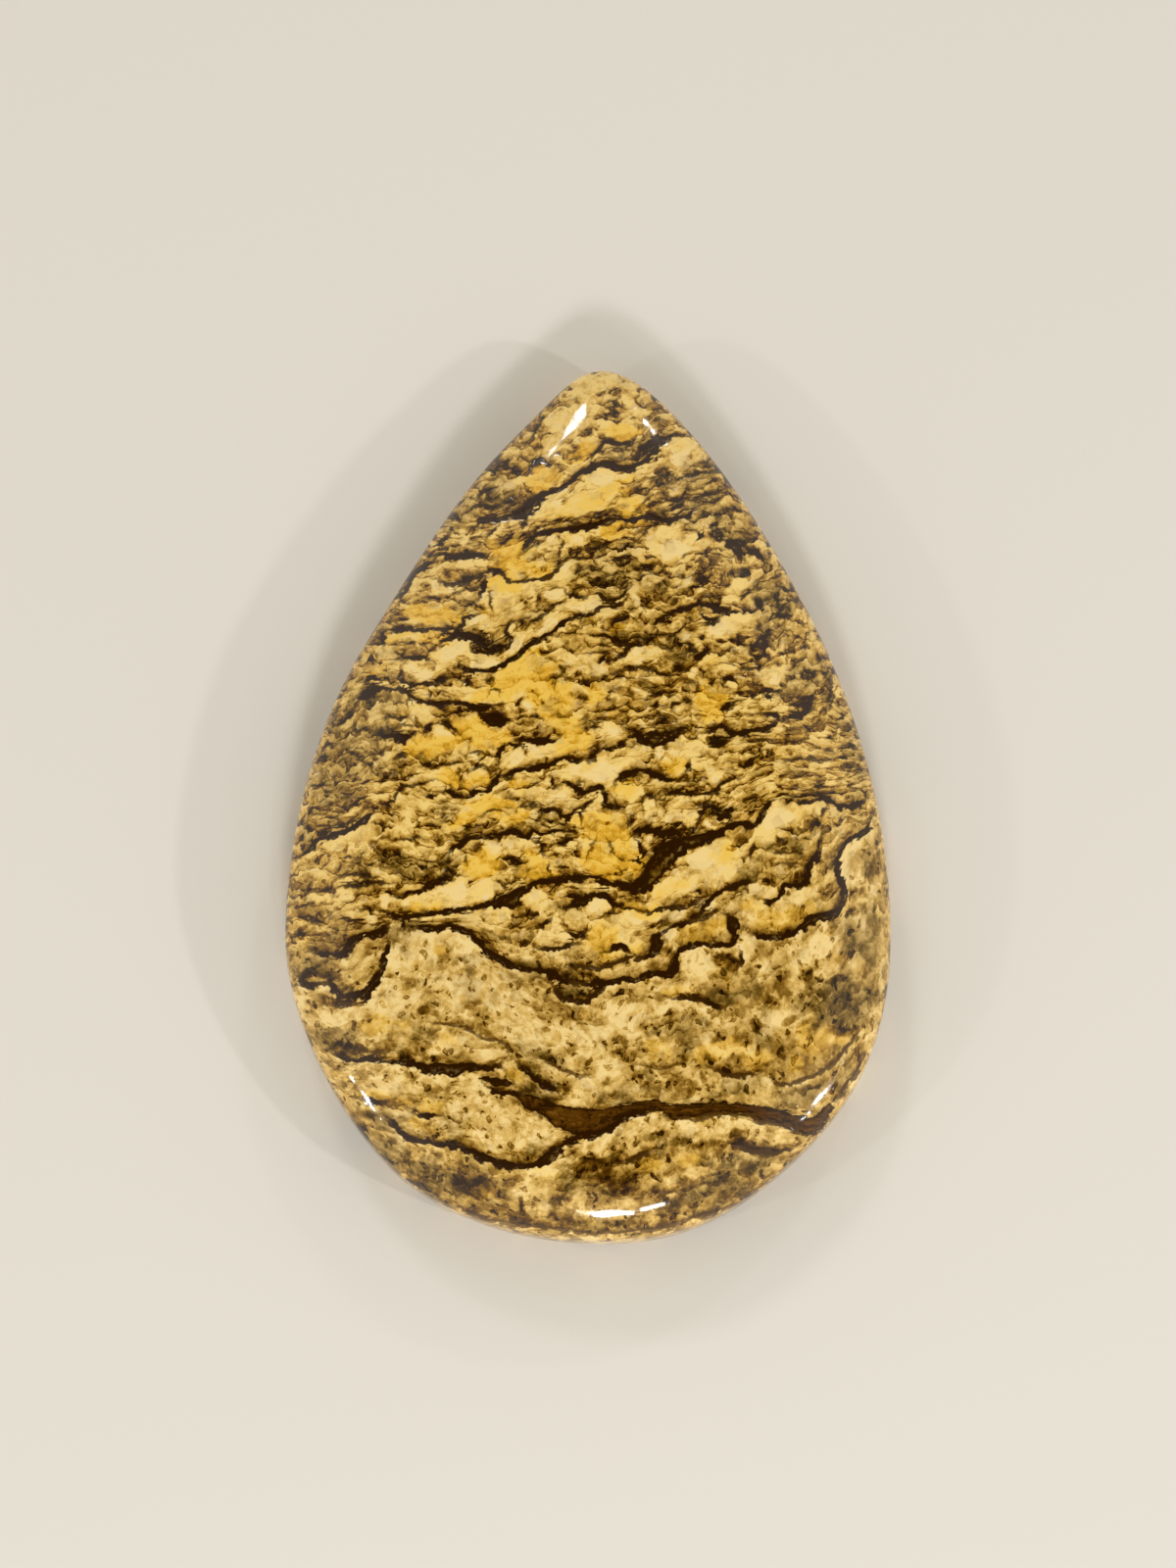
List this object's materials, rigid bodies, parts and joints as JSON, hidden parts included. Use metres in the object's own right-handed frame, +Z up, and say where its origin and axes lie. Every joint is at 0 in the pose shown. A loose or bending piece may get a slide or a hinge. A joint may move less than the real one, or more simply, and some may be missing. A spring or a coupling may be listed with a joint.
{
  "type": "polished picture jasper stone",
  "caption": "Pear-shaped polished picture jasper stone with a low domed face, rounded edge and flat back, lying on its back.",
  "frame": {"origin": "middle of the stone's bounding rectangle, on the plane that its flat back rests on", "axes": "+Y towards the narrow tip, +Z up out of the domed face, +X to the right seen from above with the tip away"},
  "size_m": [0.04, 0.06, 0.0076],
  "materials": {
    "polished_jasper": "glossy polish over tan and cream stone with dark brown, ochre and grey banding"
  },
  "bodies": {
    "root": {"jasper_stone": "polished_jasper"}
  },
  "joints": []
}
